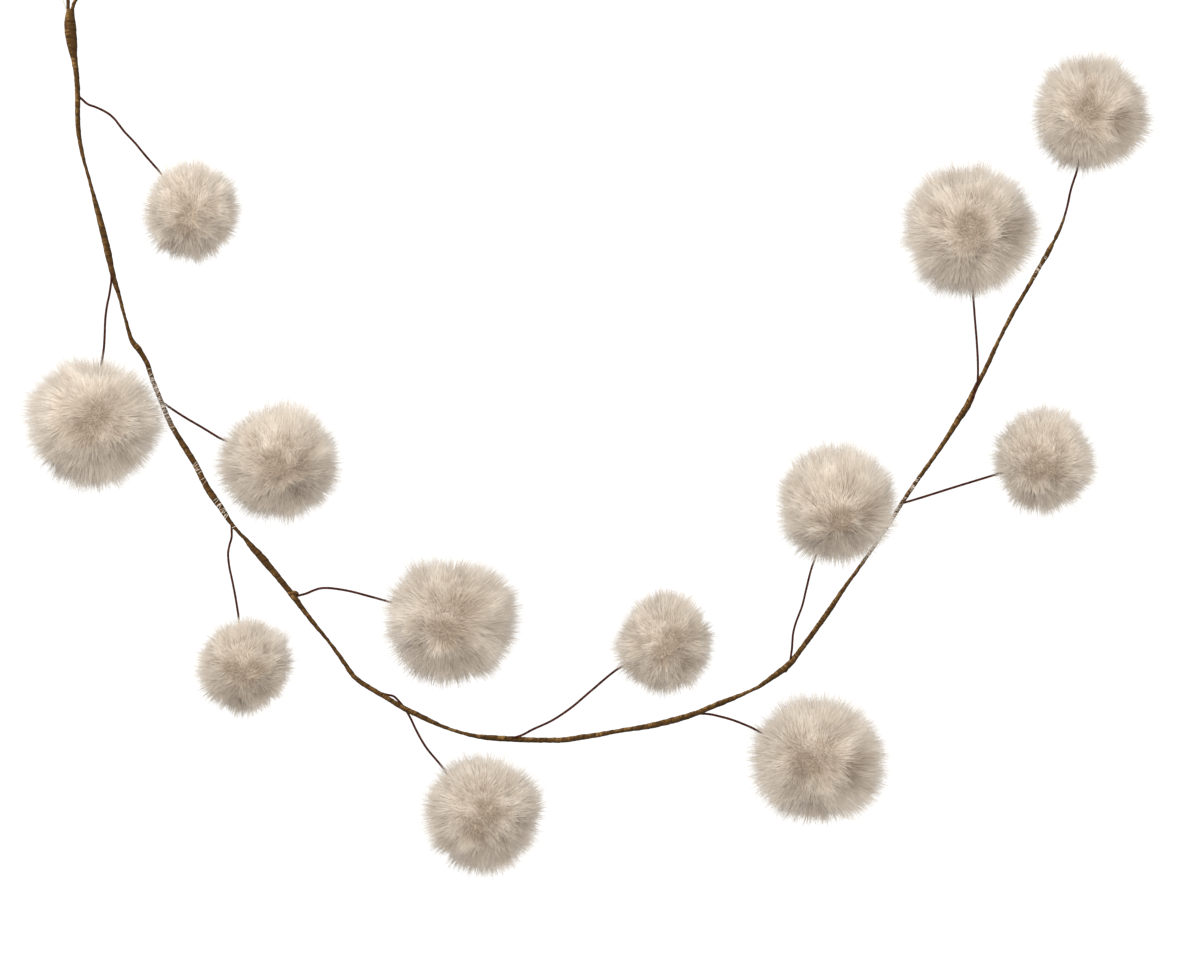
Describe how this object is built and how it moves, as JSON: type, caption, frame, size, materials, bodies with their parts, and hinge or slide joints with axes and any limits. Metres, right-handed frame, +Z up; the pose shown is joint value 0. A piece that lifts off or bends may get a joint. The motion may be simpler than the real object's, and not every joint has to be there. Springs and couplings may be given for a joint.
{
  "type": "pom pom garland",
  "caption": "Decorative garland: fur balls on thin branch wires along a paper-wrapped wire stem that hangs in a swag from a loop at one end.",
  "frame": {"origin": "inside top of the hanging loop, where the nail or hook bears", "axes": "+Z up as it hangs; +X along the wall from the loop's end to the far end; the viewer stands on the -Y side"},
  "size_m": [1.0158, 0.1631, 0.8159],
  "materials": {
    "fur": "soft beige faux fur pile",
    "paper_wrap": "matt brown crepe paper tape wound over wire",
    "lacquered_wire": "satin dark brown lacquer on thin steel wire",
    "thread": "pale thread end"
  },
  "bodies": {
    "root": {"stem": "paper_wrap", "end_binding": "paper_wrap", "hanging_loop": "paper_wrap", "loose_strand": "thread", "branch_wire_01": "lacquered_wire", "branch_wire_02": "lacquered_wire", "branch_wire_03": "lacquered_wire", "branch_wire_04": "lacquered_wire", "branch_wire_05": "lacquered_wire", "branch_wire_06": "lacquered_wire", "branch_wire_07": "lacquered_wire", "branch_wire_08": "lacquered_wire", "branch_wire_09": "lacquered_wire", "branch_wire_10": "lacquered_wire", "branch_wire_11": "lacquered_wire", "branch_wire_12": "lacquered_wire", "pom_pom_01": "fur", "pom_pom_02": "fur", "pom_pom_03": "fur", "pom_pom_04": "fur", "pom_pom_05": "fur", "pom_pom_06": "fur", "pom_pom_07": "fur", "pom_pom_08": "fur", "pom_pom_09": "fur", "pom_pom_10": "fur", "pom_pom_11": "fur", "pom_pom_12": "fur"}
  },
  "joints": []
}
